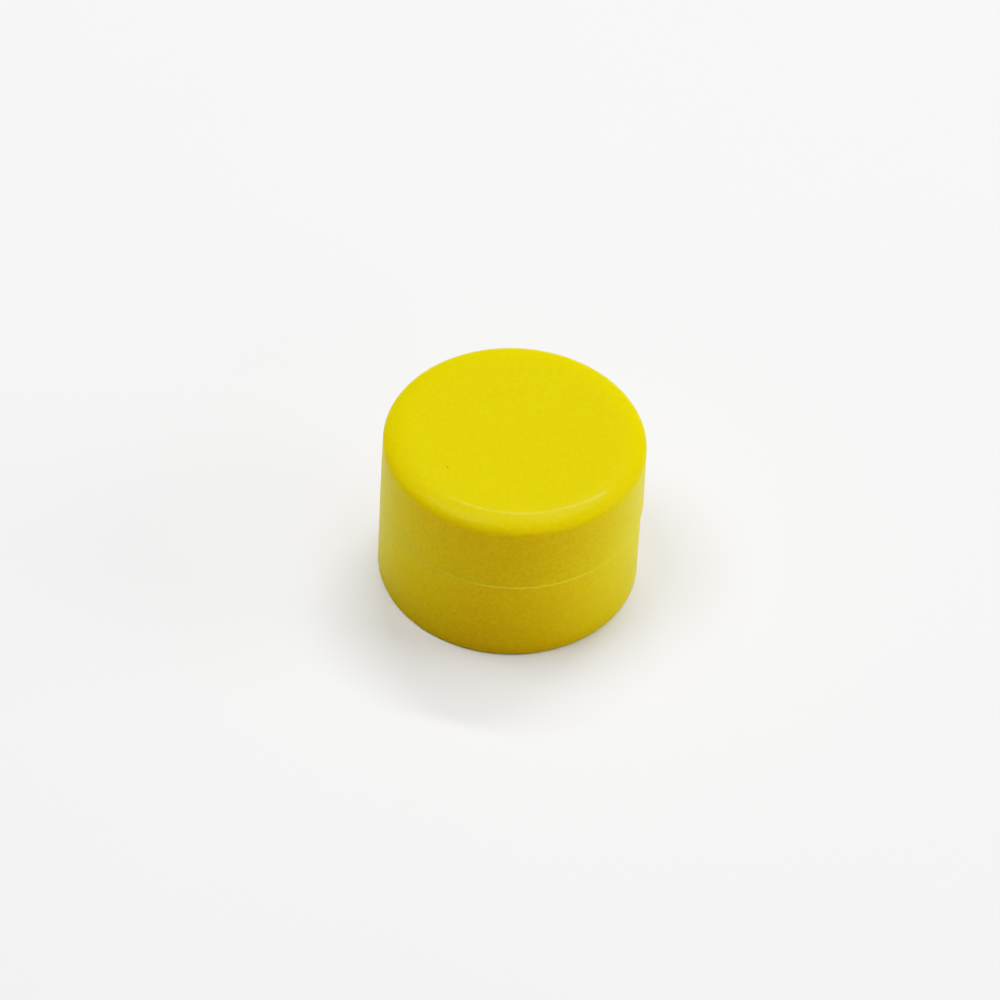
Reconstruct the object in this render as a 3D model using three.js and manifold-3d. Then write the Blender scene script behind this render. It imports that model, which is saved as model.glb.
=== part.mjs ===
// A round yellow pavement marker: a moulded cap pushed over a moulded base cup, closed around a
// stack of two ferrite magnets between steel discs.
// Millimetres, +Z up. The origin is the middle of the underside of the base cup.

import * as THREE from "three";
import { mergeVertices } from "three/addons/utils/BufferGeometryUtils.js";
import Module from "manifold-3d";

// Driving dimensions.
const DIAMETER = 36; // over the cap's skirt, the widest place
const HEIGHT = 24.8;
const SEAM_HEIGHT = 13.4; // lower edge of the cap
const MAGNET_RADIUS = 14;
const MAGNET_THICKNESS = 6;
const CAP_PLAY = 0.12; // the cap sits this far to +X, within its clearance on the spigot

// Gaps and steps.
const CONTACT_GAP = 0.05; // between two pieces that rest on each other
const SEAM_GAP = 0.06; // the line that shows between the cap and the base cup
const FIT_CLEARANCE = 0.25; // radial, between the spigot and the cap's bore
const RIB_CLEARANCE = 0.15; // radial, between the magnets and the ribs that centre them

// Rounding of the turned shapes.
const FACETS = 72;
const ARC_STEPS = 3; // a quarter round gets twice as many sides
const SMALL_ARC_STEPS = 1; // on the thin pieces inside

// Cap: outside, then inside.
const CAP_RADIUS = DIAMETER / 2;
const CAP_TOP_RADIUS = CAP_RADIUS - 0.15; // the skirt flares for release from its mould
const CAP_TOP_ROUND_ALONG = 3.8; // how far the top edge's rounding runs across the top face
const CAP_TOP_ROUND_DOWN = 1.8; // and down the side
const CAP_EDGE_ROUND = 0.2;
const SKIRT_THICKNESS = 1;
const CAP_BORE_RADIUS = CAP_RADIUS - SKIRT_THICKNESS;
const BORE_LEAD_IN = 0.3;
const CAP_INNER_RADIUS = 15.9; // above the step that closes on the seal
const CEILING_HEIGHT = HEIGHT - 2.2;
const CEILING_ROUND = 0.9;
const BEARING_RINGS = [
  { inner: 4.4, outer: 5.6 },
  { inner: 10.6, outer: 12 },
];

// Base cup.
const BASE_RADIUS = 17.92;
const BASE_FOOT_ROUND = 0.45;
const SHOULDER_HEIGHT = SEAM_HEIGHT - SEAM_GAP;
const SHOULDER_ROUND = 0.2;
const SPIGOT_RADIUS = CAP_BORE_RADIUS - FIT_CLEARANCE;
const SPIGOT_HEIGHT = 18;
const SPIGOT_BEVEL = 0.2;
const CUP_INNER_RADIUS = 15.5;
const FLOOR_HEIGHT = 2.4;
const FLOOR_ROUND = 0.6;

// Ribs, in the base cup and under the cap's ceiling.
const RIB_COUNT = 8;
const CUP_RIB_WIDTH = 1.4;
const CUP_RIB_HEIGHT = 16.6;
const CUP_RIB_LEAD_IN = 1.2;
const CAP_RIB_WIDTH = 1.2;
const CAP_RIB_DROP = 2.4; // below the ceiling
const RIB_ROOT = 0.3; // how far a rib runs into the wall that it grows from

// The stack, from the floor up.
const BOND_RADIUS = 13;
const BOND_THICKNESS = 0.3;
const PLATE_EDGE_BREAK = 0.15;
const BACKING_THICKNESS = 1.5;
const MAGNET_EDGE_BREAK = 0.35;
const PRESSURE_THICKNESS = 1;
const CUSHION_RADIUS = 13.4;
const CUSHION_THICKNESS = 1.3;
const CUSHION_EDGE_ROUND = 0.3;

const BOND_FOOT = FLOOR_HEIGHT + CONTACT_GAP;
const BACKING_FOOT = BOND_FOOT + BOND_THICKNESS + CONTACT_GAP;
const LOWER_MAGNET_FOOT = BACKING_FOOT + BACKING_THICKNESS + CONTACT_GAP;
const UPPER_MAGNET_FOOT = LOWER_MAGNET_FOOT + MAGNET_THICKNESS + CONTACT_GAP;
const PRESSURE_FOOT = UPPER_MAGNET_FOOT + MAGNET_THICKNESS + CONTACT_GAP;
const CUSHION_FOOT = PRESSURE_FOOT + PRESSURE_THICKNESS + CONTACT_GAP;
const CUSHION_TOP = CUSHION_FOOT + CUSHION_THICKNESS;
const BEARING_HEIGHT = CUSHION_TOP + CONTACT_GAP;

// Seal ring, squeezed between the spigot's rim and the step inside the cap.
const SEAL_INNER_RADIUS = 15.6;
const SEAL_OUTER_RADIUS = 16.65;
const SEAL_THICKNESS = 1;
const SEAL_ROUND = 0.3;
const SEAL_FOOT = SPIGOT_HEIGHT + CONTACT_GAP;
const CAP_STEP_HEIGHT = SEAL_FOOT + SEAL_THICKNESS + CONTACT_GAP;

const QUARTER = Math.PI / 2;

const wasm = await Module();
wasm.setup();

const yellowPlastic = new THREE.MeshStandardMaterial({ color: 0xe3cf10, roughness: 0.45, metalness: 0 });
const blackRubber = new THREE.MeshStandardMaterial({ color: 0x1b1b1c, roughness: 0.8, metalness: 0 });
const ferrite = new THREE.MeshStandardMaterial({ color: 0x34353a, roughness: 0.6, metalness: 0.2 });
const zincSteel = new THREE.MeshStandardMaterial({ color: 0xb4b7ba, roughness: 0.35, metalness: 1 });
const clearEpoxy = new THREE.MeshStandardMaterial({ color: 0xb98f3a, roughness: 0.25, metalness: 0 });

// A half section in (radius, height), turned about +Z.
function turned(outline, arcSteps = ARC_STEPS) {
  return new THREE.LatheGeometry(outline.getPoints(arcSteps), FACETS).rotateX(QUARTER);
}

// A closed geometry as a manifold-3d solid.
function solidOf(geometry) {
  const bare = geometry.clone();
  bare.deleteAttribute("normal");
  bare.deleteAttribute("uv");
  const merged = mergeVertices(bare, 1e-4);
  const vertProperties = merged.attributes.position.array;
  const triVerts = new Uint32Array(merged.index.array);
  return new wasm.Manifold(new wasm.Mesh({ numProp: 3, vertProperties, triVerts }));
}

// The solid's triangles as a geometry again.
function geometryOf(solid) {
  const { vertProperties, triVerts } = solid.getMesh();
  return new THREE.BufferGeometry()
    .setAttribute("position", new THREE.BufferAttribute(vertProperties, 3))
    .setIndex(new THREE.BufferAttribute(triVerts, 1))
    .toNonIndexed();
}

// Joins evenly spaced copies of a rib, drawn as a side view in (radius, height), to a turned body.
function withRibs(body, sideView, width) {
  const rib = new THREE.ExtrudeGeometry(sideView, { depth: width, bevelEnabled: false })
    .translate(0, 0, -width / 2)
    .rotateX(QUARTER);
  let joined = solidOf(body);
  for (let i = 0; i < RIB_COUNT; i++) {
    const turn = ((i + 0.5) * 2 * Math.PI) / RIB_COUNT;
    joined = joined.add(solidOf(rib.clone().rotateZ(turn)));
  }
  return geometryOf(joined);
}

function node(name, geometry, material) {
  const mesh = new THREE.Mesh(geometry, material);
  mesh.name = name;
  return mesh;
}

// The cap: a shallow cup, open side down, with rings and ribs under its ceiling that carry a load
// on the top face down to the stack.
function capShell() {
  const roundX = CAP_TOP_RADIUS - CAP_TOP_ROUND_ALONG;
  const roundZ = HEIGHT - CAP_TOP_ROUND_DOWN;
  const outline = new THREE.Path().moveTo(0, CEILING_HEIGHT);
  for (const { inner, outer } of BEARING_RINGS) {
    outline
      .lineTo(inner, CEILING_HEIGHT)
      .lineTo(inner, BEARING_HEIGHT)
      .lineTo(outer, BEARING_HEIGHT)
      .lineTo(outer, CEILING_HEIGHT);
  }
  outline
    .absarc(CAP_INNER_RADIUS - CEILING_ROUND, CEILING_HEIGHT - CEILING_ROUND, CEILING_ROUND, QUARTER, 0, true)
    .lineTo(CAP_INNER_RADIUS, CAP_STEP_HEIGHT)
    .lineTo(CAP_BORE_RADIUS, CAP_STEP_HEIGHT)
    .lineTo(CAP_BORE_RADIUS, SEAM_HEIGHT + BORE_LEAD_IN)
    .lineTo(CAP_BORE_RADIUS + BORE_LEAD_IN, SEAM_HEIGHT)
    .absarc(CAP_RADIUS - CAP_EDGE_ROUND, SEAM_HEIGHT + CAP_EDGE_ROUND, CAP_EDGE_ROUND, -QUARTER, 0, false)
    .absellipse(roundX, roundZ, CAP_TOP_ROUND_ALONG, CAP_TOP_ROUND_DOWN, 0, QUARTER, false, 0)
    .lineTo(0, HEIGHT);

  const rib = new THREE.Shape()
    .moveTo(BEARING_RINGS[0].outer - RIB_ROOT, CEILING_HEIGHT - CAP_RIB_DROP)
    .lineTo(CAP_INNER_RADIUS + RIB_ROOT, CEILING_HEIGHT - CAP_RIB_DROP)
    .lineTo(CAP_INNER_RADIUS + RIB_ROOT, CEILING_HEIGHT + RIB_ROOT)
    .lineTo(BEARING_RINGS[0].outer - RIB_ROOT, CEILING_HEIGHT + RIB_ROOT);

  const cap = node("cap_shell", withRibs(turned(outline), rib, CAP_RIB_WIDTH), yellowPlastic);
  cap.position.x = CAP_PLAY;
  return cap;
}

// The base cup: a flat-bottomed cup whose spigot fills the cap's bore, with ribs that centre the
// magnets.
function baseCup() {
  const outline = new THREE.Path()
    .moveTo(0, 0)
    .lineTo(BASE_RADIUS - BASE_FOOT_ROUND, 0)
    .absarc(BASE_RADIUS - BASE_FOOT_ROUND, BASE_FOOT_ROUND, BASE_FOOT_ROUND, -QUARTER, 0, false)
    .absarc(BASE_RADIUS - SHOULDER_ROUND, SHOULDER_HEIGHT - SHOULDER_ROUND, SHOULDER_ROUND, 0, QUARTER, false)
    .lineTo(SPIGOT_RADIUS, SHOULDER_HEIGHT)
    .lineTo(SPIGOT_RADIUS, SPIGOT_HEIGHT - SPIGOT_BEVEL)
    .lineTo(SPIGOT_RADIUS - SPIGOT_BEVEL, SPIGOT_HEIGHT)
    .lineTo(CUP_INNER_RADIUS + SPIGOT_BEVEL, SPIGOT_HEIGHT)
    .lineTo(CUP_INNER_RADIUS, SPIGOT_HEIGHT - SPIGOT_BEVEL)
    .absarc(CUP_INNER_RADIUS - FLOOR_ROUND, FLOOR_HEIGHT + FLOOR_ROUND, FLOOR_ROUND, 0, -QUARTER, true)
    .lineTo(0, FLOOR_HEIGHT);

  const ribFace = MAGNET_RADIUS + RIB_CLEARANCE;
  const rib = new THREE.Shape()
    .moveTo(CUP_INNER_RADIUS + RIB_ROOT, FLOOR_HEIGHT - RIB_ROOT)
    .lineTo(CUP_INNER_RADIUS + RIB_ROOT, CUP_RIB_HEIGHT)
    .lineTo(CUP_INNER_RADIUS, CUP_RIB_HEIGHT)
    .lineTo(ribFace, CUP_RIB_HEIGHT - CUP_RIB_LEAD_IN)
    .lineTo(ribFace, FLOOR_HEIGHT - RIB_ROOT);

  return node("base_cup", withRibs(turned(outline), rib, CUP_RIB_WIDTH), yellowPlastic);
}

// A disc about the Z axis with both edges broken by a bevel.
function bevelledDisc(name, foot, radius, thickness, edgeBreak, material) {
  const outline = new THREE.Path()
    .moveTo(0, foot)
    .lineTo(radius - edgeBreak, foot)
    .lineTo(radius, foot + edgeBreak)
    .lineTo(radius, foot + thickness - edgeBreak)
    .lineTo(radius - edgeBreak, foot + thickness)
    .lineTo(0, foot + thickness);
  return node(name, turned(outline), material);
}

// The film of epoxy that holds the backing plate to the floor, with a rounded squeezed-out edge.
function bondLayer() {
  const half = BOND_THICKNESS / 2;
  const outline = new THREE.Path()
    .moveTo(0, BOND_FOOT)
    .lineTo(BOND_RADIUS - half, BOND_FOOT)
    .absarc(BOND_RADIUS - half, BOND_FOOT + half, half, -QUARTER, QUARTER, false)
    .lineTo(0, BOND_FOOT + BOND_THICKNESS);
  return node("bond_layer", turned(outline, SMALL_ARC_STEPS), clearEpoxy);
}

// The rubber pad that the cap's rings press on.
function cushionPad() {
  const edge = CUSHION_RADIUS - CUSHION_EDGE_ROUND;
  const outline = new THREE.Path()
    .moveTo(0, CUSHION_FOOT)
    .lineTo(edge, CUSHION_FOOT)
    .absarc(edge, CUSHION_FOOT + CUSHION_EDGE_ROUND, CUSHION_EDGE_ROUND, -QUARTER, 0, false)
    .absarc(edge, CUSHION_TOP - CUSHION_EDGE_ROUND, CUSHION_EDGE_ROUND, 0, QUARTER, false)
    .lineTo(0, CUSHION_TOP);
  return node("cushion_pad", turned(outline, SMALL_ARC_STEPS), blackRubber);
}

// The rubber ring that closes the lap: a rounded square section.
function sealRing() {
  const inner = SEAL_INNER_RADIUS + SEAL_ROUND;
  const outer = SEAL_OUTER_RADIUS - SEAL_ROUND;
  const low = SEAL_FOOT + SEAL_ROUND;
  const high = SEAL_FOOT + SEAL_THICKNESS - SEAL_ROUND;
  const outline = new THREE.Path()
    .moveTo(inner, SEAL_FOOT)
    .lineTo(outer, SEAL_FOOT)
    .absarc(outer, low, SEAL_ROUND, -QUARTER, 0, false)
    .absarc(outer, high, SEAL_ROUND, 0, QUARTER, false)
    .absarc(inner, high, SEAL_ROUND, QUARTER, 2 * QUARTER, false)
    .absarc(inner, low, SEAL_ROUND, 2 * QUARTER, 3 * QUARTER, false);
  return node("seal_ring", turned(outline, SMALL_ARC_STEPS), blackRubber);
}

const marker = new THREE.Group();
marker.add(
  baseCup(),
  bondLayer(),
  bevelledDisc("backing_plate", BACKING_FOOT, MAGNET_RADIUS, BACKING_THICKNESS, PLATE_EDGE_BREAK, zincSteel),
  bevelledDisc("magnet_lower", LOWER_MAGNET_FOOT, MAGNET_RADIUS, MAGNET_THICKNESS, MAGNET_EDGE_BREAK, ferrite),
  bevelledDisc("magnet_upper", UPPER_MAGNET_FOOT, MAGNET_RADIUS, MAGNET_THICKNESS, MAGNET_EDGE_BREAK, ferrite),
  bevelledDisc("pressure_plate", PRESSURE_FOOT, MAGNET_RADIUS, PRESSURE_THICKNESS, PLATE_EDGE_BREAK, zincSteel),
  cushionPad(),
  sealRing(),
  capShell(),
);

export default marker;
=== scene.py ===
"""The looks of a round yellow pavement marker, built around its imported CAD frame.

Every piece is a turned shape, given here by the corners of its half section and made finely
enough to look smooth. The cap and the base cup also have ribs inside.
"""

import math

import bmesh
import bpy
from mathutils import Matrix, Vector


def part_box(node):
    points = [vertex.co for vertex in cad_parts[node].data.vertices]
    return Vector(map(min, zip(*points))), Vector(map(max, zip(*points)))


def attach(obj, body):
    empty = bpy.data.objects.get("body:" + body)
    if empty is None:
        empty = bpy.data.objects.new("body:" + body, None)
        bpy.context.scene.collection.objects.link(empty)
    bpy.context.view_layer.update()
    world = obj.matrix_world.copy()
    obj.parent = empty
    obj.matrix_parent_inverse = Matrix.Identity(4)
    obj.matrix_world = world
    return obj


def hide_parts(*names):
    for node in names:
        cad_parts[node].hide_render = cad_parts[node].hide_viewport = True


MM = 0.001

# How finely things are turned.
SEGMENTS = 256
ARC_STEPS = 10
EDGE_SUPPORT = 0.04 * MM  # a flat keeps its own shading up to this far from a rounded corner
SMOOTH_ANGLE = math.radians(32)
ON_AXIS = 1e-6 * MM  # a point nearer to the axis than this is on it

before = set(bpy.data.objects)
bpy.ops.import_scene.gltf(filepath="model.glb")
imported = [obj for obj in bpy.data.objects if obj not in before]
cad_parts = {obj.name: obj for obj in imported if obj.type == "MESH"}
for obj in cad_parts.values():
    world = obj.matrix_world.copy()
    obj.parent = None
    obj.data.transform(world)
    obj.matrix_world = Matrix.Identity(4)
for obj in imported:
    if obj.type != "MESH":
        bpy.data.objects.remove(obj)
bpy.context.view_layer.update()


# ---------------------------------------------------------------- sizes, from the frame


class Span:
    """The place and size of a CAD node that is round about a vertical axis."""

    def __init__(self, node):
        low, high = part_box(node)
        self.low = low.z
        self.high = high.z
        self.radius = (high.y - low.y) / 2
        self.x = (low.x + high.x) / 2


CAP = Span("cap_shell")
BASE = Span("base_cup")
BOND = Span("bond_layer")
BACKING = Span("backing_plate")
LOWER_MAGNET = Span("magnet_lower")
UPPER_MAGNET = Span("magnet_upper")
PRESSURE = Span("pressure_plate")
CUSHION = Span("cushion_pad")
SEAL = Span("seal_ring")

HEIGHT = CAP.high
SEAM = CAP.low
SEAM_GAP = 0.002 * MM
SEAM_HIGHLIGHT = 0.22 * MM  # how far the painted highlight pales the plastic on both sides of the seam
TOUCH = 0.05 * MM  # between pieces that rest on each other

# The cap.
CAP_TOP_RADIUS = CAP.radius - 0.15 * MM
TOP_ROUND_ALONG = 3.8 * MM
TOP_ROUND_DOWN = 1.8 * MM
SKIRT = 1.0 * MM
CAP_WALL = 2.1 * MM
CEILING = HEIGHT - 2.2 * MM
RINGS = ((4.4 * MM, 5.6 * MM), (10.6 * MM, 12.0 * MM))
CAP_RIB_DROP = 2.4 * MM
CAP_RIB_WIDTH = 1.2 * MM
BORE_EDGE = 0.25 * MM
BORE_ROOT = 0.15 * MM
STEP_EDGE = 0.2 * MM
CEILING_ROOT = 0.9 * MM
RING_ROOT = 0.3 * MM
RING_EDGE = 0.2 * MM

# The base cup.
BASE_TOP_RADIUS = BASE.radius - 0.05 * MM  # a little draft, so that no ledge shows at the seam
SPIGOT_RADIUS = CAP.radius - SKIRT - 0.25 * MM
CUP_RADIUS = 15.5 * MM
CUP_FLOOR = 2.4 * MM
CUP_RIB_TOP = UPPER_MAGNET.high + 0.2 * MM
CUP_RIB_WIDTH = 1.4 * MM
CUP_RIB_LEAD = 1.2 * MM  # the drop of a rib's sloped top, which guides the magnets in
RIB_CLEARANCE = 0.15 * MM
FOOT_ROUND = 0.4 * MM
SPIGOT_ROOT = 0.15 * MM
SPIGOT_EDGE = 0.25 * MM
CUP_ROOT = 0.6 * MM

# The ribs of both.
RIB_ROOT = 0.3 * MM  # how far a rib runs into the body that it stands on
RIB_COUNT = 8

# The pieces inside.
SEAL_BORE = 15.6 * MM
SEAL_ROUND = 0.35 * MM
BOND_EDGE = 0.14 * MM
STEEL_EDGE = 0.15 * MM
MAGNET_EDGE = 0.35 * MM
CUSHION_EDGE = 0.3 * MM


# ---------------------------------------------------------------- turned shapes


def corner(r, z, reach=0.0, reach_after=None):
    """A corner of a half section. Reach is how far its rounding runs back along the line before
    it, and reach_after how far it runs along the line after it."""
    return Vector((r, z)), reach, reach if reach_after is None else reach_after


def rounded(corners, closed=False):
    """The points of a half section whose corners are rounded by arcs tangent to both lines."""
    points = []
    last = len(corners) - 1
    for i, (at, before, after) in enumerate(corners):
        if before == 0 or (not closed and i in (0, last)):
            points.append(at)
            continue
        back = (corners[i - 1][0] - at).normalized()
        ahead = (corners[(i + 1) % len(corners)][0] - at).normalized()
        points.append(at + back * (before + EDGE_SUPPORT))
        for step in range(ARC_STEPS + 1):
            t = math.pi / 2 * step / ARC_STEPS
            from_back = back * before * (1 - math.sin(t))
            from_ahead = ahead * after * (1 - math.cos(t))
            points.append(at + from_back + from_ahead)
        points.append(at + ahead * (after + EDGE_SUPPORT))
    return points


def turned(name, points, x, closed=False):
    """A mesh object made by turning a half section about the vertical line at x."""
    mesh = bpy.data.meshes.new(name)
    bm = bmesh.new()
    rings = []
    for point in points:
        if point.x < ON_AXIS:
            rings.append([bm.verts.new((x, 0, point.y))] * SEGMENTS)
            continue
        ring = []
        for k in range(SEGMENTS):
            angle = 2 * math.pi * k / SEGMENTS
            across, along = point.x * math.cos(angle), point.x * math.sin(angle)
            ring.append(bm.verts.new((x + across, along, point.y)))
        rings.append(ring)
    pairs = list(zip(rings, rings[1:]))
    if closed:
        pairs.append((rings[-1], rings[0]))
    for low, high in pairs:
        for k in range(SEGMENTS):
            n = (k + 1) % SEGMENTS
            corners = list(dict.fromkeys((low[k], low[n], high[n], high[k])))
            if len(corners) > 2:
                bm.faces.new(corners)
    bmesh.ops.recalc_face_normals(bm, faces=bm.faces)
    bm.to_mesh(mesh)
    bm.free()
    piece = bpy.data.objects.new(name, mesh)
    bpy.context.scene.collection.objects.link(piece)
    return piece


def rib_block(side_view, width, turn, x):
    """One rib: a side view in (radius, height), as thick as width, turned to its place."""
    mesh = bpy.data.meshes.new("rib")
    bm = bmesh.new()
    faces = []
    for y in (-width / 2, width / 2):
        faces.append(bm.faces.new([bm.verts.new((r, y, z)) for r, z in side_view]))
    near, far = faces[0].verts[:], faces[1].verts[:]
    for k in range(len(side_view)):
        n = (k + 1) % len(side_view)
        bm.faces.new((near[k], near[n], far[n], far[k]))
    bmesh.ops.recalc_face_normals(bm, faces=bm.faces)
    bm.transform(Matrix.Translation((x, 0, 0)) @ Matrix.Rotation(turn, 4, "Z"))
    bm.to_mesh(mesh)
    bm.free()
    rib = bpy.data.objects.new("rib", mesh)
    bpy.context.scene.collection.objects.link(rib)
    return rib


def add_ribs(body, side_view, width, x):
    """Joins evenly spaced ribs to a turned body."""
    spacing = 2 * math.pi / RIB_COUNT
    ribs = [rib_block(side_view, width, (k + 0.5) * spacing, x) for k in range(RIB_COUNT)]
    for rib in ribs:
        join = body.modifiers.new("join", "BOOLEAN")
        join.operation = "UNION"
        join.solver = "MANIFOLD"
        join.object = rib
    joined = body.evaluated_get(bpy.context.evaluated_depsgraph_get())
    settled = bpy.data.meshes.new_from_object(joined)
    body.modifiers.clear()
    body.data = settled
    for rib in ribs:
        bpy.data.objects.remove(rib)


def finished(piece, node, body, material):
    """Shades a piece, and ties it to the frame in place of its CAD node."""
    piece.data.shade_smooth()
    piece.data.set_sharp_from_angle(angle=SMOOTH_ANGLE)
    piece.data.materials.clear()
    piece.data.materials.append(material)
    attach(piece, body)
    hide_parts(node)


# ---------------------------------------------------------------- materials


class Nodes:
    """A material's node tree, with short ways to add and join nodes."""

    def __init__(self, name):
        self.material = bpy.data.materials.new(name)
        self.material.use_nodes = True
        self.tree = self.material.node_tree
        self.shader = self.tree.nodes["Principled BSDF"]
        coordinates = self.tree.nodes.new("ShaderNodeTexCoord")
        self.place = coordinates.outputs["Object"]
        facing = self.parts(coordinates.outputs["Normal"])
        self.facing_up = facing["Z"]
        self.facing_aside = self.product(facing["X"], facing["X"])
        self.height = self.parts(self.place)["Z"]

    def link(self, source, target):
        self.tree.links.new(source, target)

    def finish(self, colour, roughness, normal, **constants):
        """Joins up the shader, and sets its other sockets by name, with _ for a space."""
        self.link(colour, self.shader.inputs["Base Color"])
        self.link(roughness, self.shader.inputs["Roughness"])
        self.link(normal, self.shader.inputs["Normal"])
        for name, value in constants.items():
            self.shader.inputs[name.replace("_", " ")].default_value = value
        return self.material

    def parts(self, vector):
        """The X, Y and Z outputs of a vector."""
        node = self.tree.nodes.new("ShaderNodeSeparateXYZ")
        self.link(vector, node.inputs["Vector"])
        return node.outputs

    def noise(self, scale, detail=2.0, roughness=0.5, vector=None):
        node = self.tree.nodes.new("ShaderNodeTexNoise")
        node.inputs["Scale"].default_value = scale
        node.inputs["Detail"].default_value = detail
        node.inputs["Roughness"].default_value = roughness
        self.link(vector or self.place, node.inputs["Vector"])
        return node.outputs["Fac"]

    def remap(self, value, from_low, from_high, to_low=0.0, to_high=1.0):
        node = self.tree.nodes.new("ShaderNodeMapRange")
        for name, number in (
            ("From Min", from_low),
            ("From Max", from_high),
            ("To Min", to_low),
            ("To Max", to_high),
        ):
            node.inputs[name].default_value = number
        self.link(value, node.inputs["Value"])
        return node.outputs["Result"]

    def product(self, first, second):
        node = self.tree.nodes.new("ShaderNodeMath")
        node.operation = "MULTIPLY"
        self.link(first, node.inputs[0])
        self.link(second, node.inputs[1])
        return node.outputs["Value"]

    def mix(self, amount, first, second):
        """Goes from one colour to another by an amount from 0 to 1."""
        node = self.tree.nodes.new("ShaderNodeMix")
        node.data_type = "RGBA"
        self.link(amount, node.inputs["Factor"])
        for socket, colour in ((node.inputs["A"], first), (node.inputs["B"], second)):
            if isinstance(colour, tuple):
                socket.default_value = (*colour, 1)
            else:
                self.link(colour, socket)
        return node.outputs["Result"]

    def bump(self, height, strength, distance):
        node = self.tree.nodes.new("ShaderNodeBump")
        node.inputs["Strength"].default_value = strength
        node.inputs["Distance"].default_value = distance
        self.link(height, node.inputs["Height"])
        return node.outputs["Normal"]


def yellow_plastic():
    """Satin moulded plastic, a little milky, under a thin smooth skin. It has fine mottling, faint
    scuffs, a few dark specks and a moulded grain. The sides are painted more orange than the top,
    as shaded and lit copies of the plastic, most of all where they face along Y; where they face
    along X a painted sheen pales them. A painted highlight pales them at the seam, and painted
    shade darkens them near the foot."""
    n = Nodes("yellow_plastic")
    hue = n.remap(n.noise(1700, detail=2, roughness=0.6), 0.38, 0.62)
    shade = n.remap(n.noise(1500, detail=2, roughness=0.6), 0.38, 0.62, 0.0, 0.25)
    # painted light: the sides get a shaded copy of the plastic, more orange than the top
    side = n.mix(hue, (0.756, 0.456, 0.0045), (0.744, 0.526, 0.005))
    side = n.mix(shade, side, (0.46, 0.30, 0.002))
    # painted reflection: where the sides face along X, their colour is paled like a sheen at the
    # edges
    painted_sheen = n.remap(n.facing_aside, 0.0, 1.0, 0.0, 0.6)
    side = n.mix(painted_sheen, side, (0.70, 0.63, 0.007))
    # painted light: the top gets a lit copy of the plastic, paler than the sides
    top = n.mix(hue, (0.724, 0.562, 0.003), (0.716, 0.573, 0.004))
    top = n.mix(shade, top, (0.56, 0.44, 0.003))
    colour = n.mix(n.remap(n.facing_up, 0.1, 0.9), side, top)

    clouds = n.remap(n.noise(90, detail=3), 0.35, 0.65, 0.0, 0.25)
    colour = n.mix(clouds, colour, (0.70, 0.53, 0.003))
    # painted shade: the colour darkens towards the foot, near the floor
    foot = n.remap(n.height, 5 * MM, 13 * MM, 0.22, 0.0)
    colour = n.mix(foot, colour, (0.46, 0.32, 0.003))
    scuffs = n.remap(n.noise(210, detail=4, roughness=0.65), 0.60, 0.74, 0.0, 0.14)
    colour = n.mix(scuffs, colour, (0.42, 0.31, 0.02))
    # painted highlight: a paler band along the seam, like light catching the parting line
    below = n.remap(n.height, SEAM - SEAM_HIGHLIGHT, SEAM)
    above = n.remap(n.height, SEAM + SEAM_HIGHLIGHT, SEAM)
    colour = n.mix(n.product(below, above), colour, (0.80, 0.57, 0.03))
    specks = n.remap(n.noise(520, detail=1), 0.795, 0.81, 0.0, 0.6)
    colour = n.mix(specks, colour, (0.22, 0.15, 0.02))
    return n.finish(
        colour,
        n.remap(n.noise(900, detail=3), 0.3, 0.7, 0.38, 0.48),
        n.bump(n.noise(2600, detail=2), 0.12, 0.02 * MM),
        Specular_IOR_Level=0.04,
        Coat_Weight=0.045,
        Coat_Roughness=0.07,
        Subsurface_Weight=1.0,
        Subsurface_Radius=(1.0, 0.9, 0.2),
        Subsurface_Scale=2 * MM,
    )


def black_rubber():
    """Moulded rubber with a dusty bloom."""
    n = Nodes("black_rubber")
    bloom = n.remap(n.noise(260, detail=5, roughness=0.6), 0.35, 0.75)
    return n.finish(
        n.mix(bloom, (0.012, 0.012, 0.013), (0.035, 0.034, 0.033)),
        n.remap(bloom, 0, 1, 0.55, 0.8),
        n.bump(n.noise(3200, detail=3), 0.35, 0.04 * MM),
    )


def ferrite():
    """Sintered ferrite: charcoal grey and finely pitted, with a ground sheen."""
    n = Nodes("ferrite")
    grain = n.noise(1800, detail=6, roughness=0.7)
    return n.finish(
        n.mix(n.remap(grain, 0.35, 0.7), (0.028, 0.029, 0.033), (0.075, 0.076, 0.082)),
        n.remap(grain, 0.3, 0.7, 0.42, 0.65),
        n.bump(grain, 0.3, 0.04 * MM),
    )


def zinc_steel():
    """Bright zinc plate over punched sheet steel, with cloudy patches and fine rolling marks."""
    n = Nodes("zinc_steel")
    cloud = n.remap(n.noise(140, detail=5, roughness=0.6), 0.35, 0.7)
    stretched = n.tree.nodes.new("ShaderNodeMapping")
    stretched.inputs["Scale"].default_value = (60, 2400, 2400)
    n.link(n.place, stretched.inputs["Vector"])
    marks = n.noise(1, detail=2, vector=stretched.outputs["Vector"])
    return n.finish(
        n.mix(cloud, (0.52, 0.53, 0.55), (0.68, 0.68, 0.66)),
        n.remap(cloud, 0, 1, 0.24, 0.4),
        n.bump(marks, 0.12, 0.02 * MM),
        Metallic=1.0,
    )


def epoxy():
    """Set amber epoxy with small bubbles."""
    n = Nodes("epoxy")
    bubbles = n.remap(n.noise(1200, detail=2), 0.62, 0.72)
    return n.finish(
        n.mix(bubbles, (0.42, 0.22, 0.05), (0.6, 0.42, 0.2)),
        n.remap(n.noise(400), 0.3, 0.7, 0.12, 0.25),
        n.bump(bubbles, 0.3, 0.03 * MM),
    )


def pale_floor():
    n = Nodes("pale_floor")
    tone = n.remap(n.noise(8, detail=3), 0.3, 0.7)
    n.link(n.mix(tone, (0.95, 0.95, 0.95), (0.97, 0.97, 0.97)), n.shader.inputs["Base Color"])
    n.shader.inputs["Roughness"].default_value = 0.9
    n.shader.inputs["Specular IOR Level"].default_value = 0.1
    return n.material


# ---------------------------------------------------------------- pieces


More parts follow.
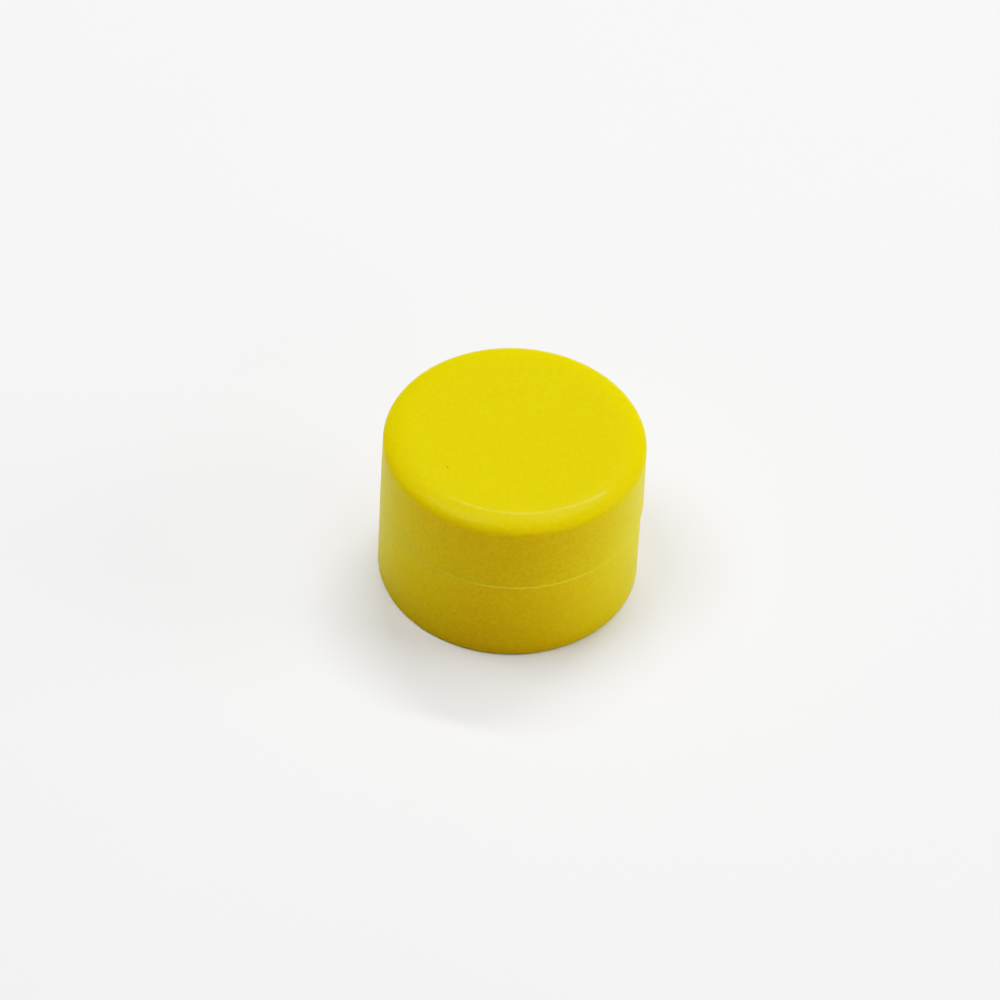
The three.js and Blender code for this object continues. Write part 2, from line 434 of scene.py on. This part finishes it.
def cap(material):
    bore = CAP.radius - SKIRT
    inner = CAP.radius - CAP_WALL
    step = SEAL.high + TOUCH
    bearing = CUSHION.high + TOUCH
    section = [
        corner(0, HEIGHT),
        corner(CAP_TOP_RADIUS, HEIGHT, TOP_ROUND_ALONG, TOP_ROUND_DOWN),
        corner(CAP.radius, SEAM),
        corner(bore, SEAM, BORE_EDGE),
        corner(bore, step, BORE_ROOT),
        corner(inner, step, STEP_EDGE),
        corner(inner, CEILING, CEILING_ROOT),
    ]
    for low, high in reversed(RINGS):
        section += [
            corner(high, CEILING, RING_ROOT),
            corner(high, bearing, RING_EDGE),
            corner(low, bearing, RING_EDGE),
            corner(low, CEILING, RING_ROOT),
        ]
    section.append(corner(0, CEILING))
    piece = turned("cap", rounded(section), CAP.x)
    start = RINGS[0][1] - RIB_ROOT
    side_view = (
        (start, CEILING - CAP_RIB_DROP),
        (inner + RIB_ROOT, CEILING - CAP_RIB_DROP),
        (inner + RIB_ROOT, CEILING + RIB_ROOT),
        (start, CEILING + RIB_ROOT),
    )
    add_ribs(piece, side_view, CAP_RIB_WIDTH, CAP.x)
    finished(piece, "cap_shell", "cap", material)


def base(material):
    shoulder = SEAM - SEAM_GAP
    section = [
        corner(0, BASE.low),
        corner(BASE.radius, BASE.low, FOOT_ROUND),
        corner(BASE_TOP_RADIUS, shoulder),
        corner(SPIGOT_RADIUS, shoulder, SPIGOT_ROOT),
        corner(SPIGOT_RADIUS, BASE.high, SPIGOT_EDGE),
        corner(CUP_RADIUS, BASE.high, SPIGOT_EDGE),
        corner(CUP_RADIUS, CUP_FLOOR, CUP_ROOT),
        corner(0, CUP_FLOOR),
    ]
    piece = turned("base", rounded(section), BASE.x)
    face = LOWER_MAGNET.radius + RIB_CLEARANCE
    side_view = (
        (CUP_RADIUS + RIB_ROOT, CUP_FLOOR - RIB_ROOT),
        (CUP_RADIUS + RIB_ROOT, CUP_RIB_TOP),
        (CUP_RADIUS, CUP_RIB_TOP),
        (face, CUP_RIB_TOP - CUP_RIB_LEAD),
        (face, CUP_FLOOR - RIB_ROOT),
    )
    add_ribs(piece, side_view, CUP_RIB_WIDTH, BASE.x)
    finished(piece, "base_cup", "base", material)


def disc(name, node, span, reach, material):
    section = [
        corner(0, span.low),
        corner(span.radius, span.low, reach),
        corner(span.radius, span.high, reach),
        corner(0, span.high),
    ]
    piece = turned(name, rounded(section), span.x)
    finished(piece, node, "base", material)


def seal(material):
    section = [
        corner(SEAL_BORE, SEAL.low, SEAL_ROUND),
        corner(SEAL.radius, SEAL.low, SEAL_ROUND),
        corner(SEAL.radius, SEAL.high, SEAL_ROUND),
        corner(SEAL_BORE, SEAL.high, SEAL_ROUND),
    ]
    piece = turned("seal", rounded(section, closed=True), SEAL.x, closed=True)
    finished(piece, "seal_ring", "base", material)


# ---------------------------------------------------------------- floor, lights, camera


FLOOR_RADIUS = 0.5
FLOOR_SIDES = 96
BACKDROP_STRENGTH = 0.8

LIGHT_DISTANCE = 0.9
SOFT = (0.45, 0.45)  # the width and height of a light
STRIP = (0.45, 0.055)
LIGHTS = (  # azimuth and elevation in degrees, size, and watts
    ("back", 168, 61, STRIP, 1.9),
    ("key", 135, 70, SOFT, 2.0),
    ("left", 270, 70, SOFT, 3.0),
    ("right", 90, 20, SOFT, 2.0),
    ("front_right", 45, 20, SOFT, 0.68),
)

TONE_TOE = 1.35
TONE_SHOULDER = 2.5
TONE_POINTS = 16
COMBINED_CURVE = 3  # the curve after those of red, green and blue, which acts on all of them

CAMERA_ELEVATION = math.radians(46)
CAMERA_ROLL = math.radians(3.24)
CAMERA_DISTANCE = 40 * CAP.radius
CAMERA_SHIFT = (-0.0118, -0.0030)
FIELD_PER_DIAMETER = 3.794  # the picture's width at the marker, in marker diameters
SENSOR = 36.0
NEAREST_SEEN = 0.01


def floor():
    bpy.ops.mesh.primitive_circle_add(
        vertices=FLOOR_SIDES, radius=FLOOR_RADIUS, fill_type="NGON"
    )
    plane = bpy.context.object
    plane.name = "floor"
    plane.data.materials.append(pale_floor())


def area_light(name, azimuth, elevation, size, power):
    """A white light that faces the marker. Azimuth 0 is the camera's side, and 90 is +X."""
    data = bpy.data.lights.new(name, "AREA")
    data.shape = "RECTANGLE"
    data.size, data.size_y = size
    data.energy = power
    light = bpy.data.objects.new(name, data)
    turn, rise = math.radians(azimuth), math.radians(elevation)
    level = math.cos(rise)
    away = Vector((math.sin(turn) * level, -math.cos(turn) * level, math.sin(rise)))
    light.location = away * LIGHT_DISTANCE
    light.rotation_euler = away.to_track_quat("Z", "Y").to_euler()
    bpy.context.scene.collection.objects.link(light)


def surroundings():
    """A pale backdrop beyond the floor, which gives the marker no light of its own."""
    world = bpy.data.worlds.new("surroundings")
    world.use_nodes = True
    background = world.node_tree.nodes["Background"]
    background.inputs["Color"].default_value = (1, 1, 1, 1)
    background.inputs["Strength"].default_value = BACKDROP_STRENGTH
    world.cycles_visibility.diffuse = False
    world.cycles_visibility.glossy = False
    world.cycles_visibility.transmission = False
    world.cycles_visibility.scatter = False
    bpy.context.scene.world = world


def tone_curve():
    """A camera's tone curve: a soft toe, and a shoulder that brings the floor near white."""
    settings = bpy.context.scene.view_settings
    settings.view_transform = "Standard"
    settings.use_curve_mapping = True
    mapping = settings.curve_mapping
    curve = mapping.curves[COMBINED_CURVE]
    for step in range(1, TONE_POINTS):
        x = (step / TONE_POINTS) ** 2
        bent = x**TONE_TOE
        curve.points.new(x, bent * (1 + TONE_SHOULDER) / (1 + TONE_SHOULDER * bent))
    mapping.update()


def camera():
    data = bpy.data.cameras.new("camera")
    data.sensor_width = SENSOR
    data.lens = SENSOR * CAMERA_DISTANCE / (FIELD_PER_DIAMETER * 2 * CAP.radius)
    data.shift_x, data.shift_y = CAMERA_SHIFT
    data.clip_start = NEAREST_SEEN
    eye = bpy.data.objects.new("camera", data)
    away = Vector((0, -math.cos(CAMERA_ELEVATION), math.sin(CAMERA_ELEVATION)))
    aim = Vector((CAP.x, 0, HEIGHT / 2))
    eye.location = aim + away * CAMERA_DISTANCE
    upright = away.to_track_quat("Z", "Y").to_matrix()
    eye.rotation_euler = (upright @ Matrix.Rotation(CAMERA_ROLL, 3, "Z")).to_euler()
    bpy.context.scene.collection.objects.link(eye)
    bpy.context.scene.camera = eye


camera()
floor()
tone_curve()
surroundings()
for light in LIGHTS:
    area_light(*light)

plastic = yellow_plastic()
rubber = black_rubber()
steel = zinc_steel()
magnet = ferrite()

cap(plastic)
base(plastic)
disc("bond", "bond_layer", BOND, BOND_EDGE, epoxy())
disc("backing", "backing_plate", BACKING, STEEL_EDGE, steel)
disc("lower_magnet", "magnet_lower", LOWER_MAGNET, MAGNET_EDGE, magnet)
disc("upper_magnet", "magnet_upper", UPPER_MAGNET, MAGNET_EDGE, magnet)
disc("pressure", "pressure_plate", PRESSURE, STEEL_EDGE, steel)
disc("cushion", "cushion_pad", CUSHION, CUSHION_EDGE, rubber)
seal(rubber)
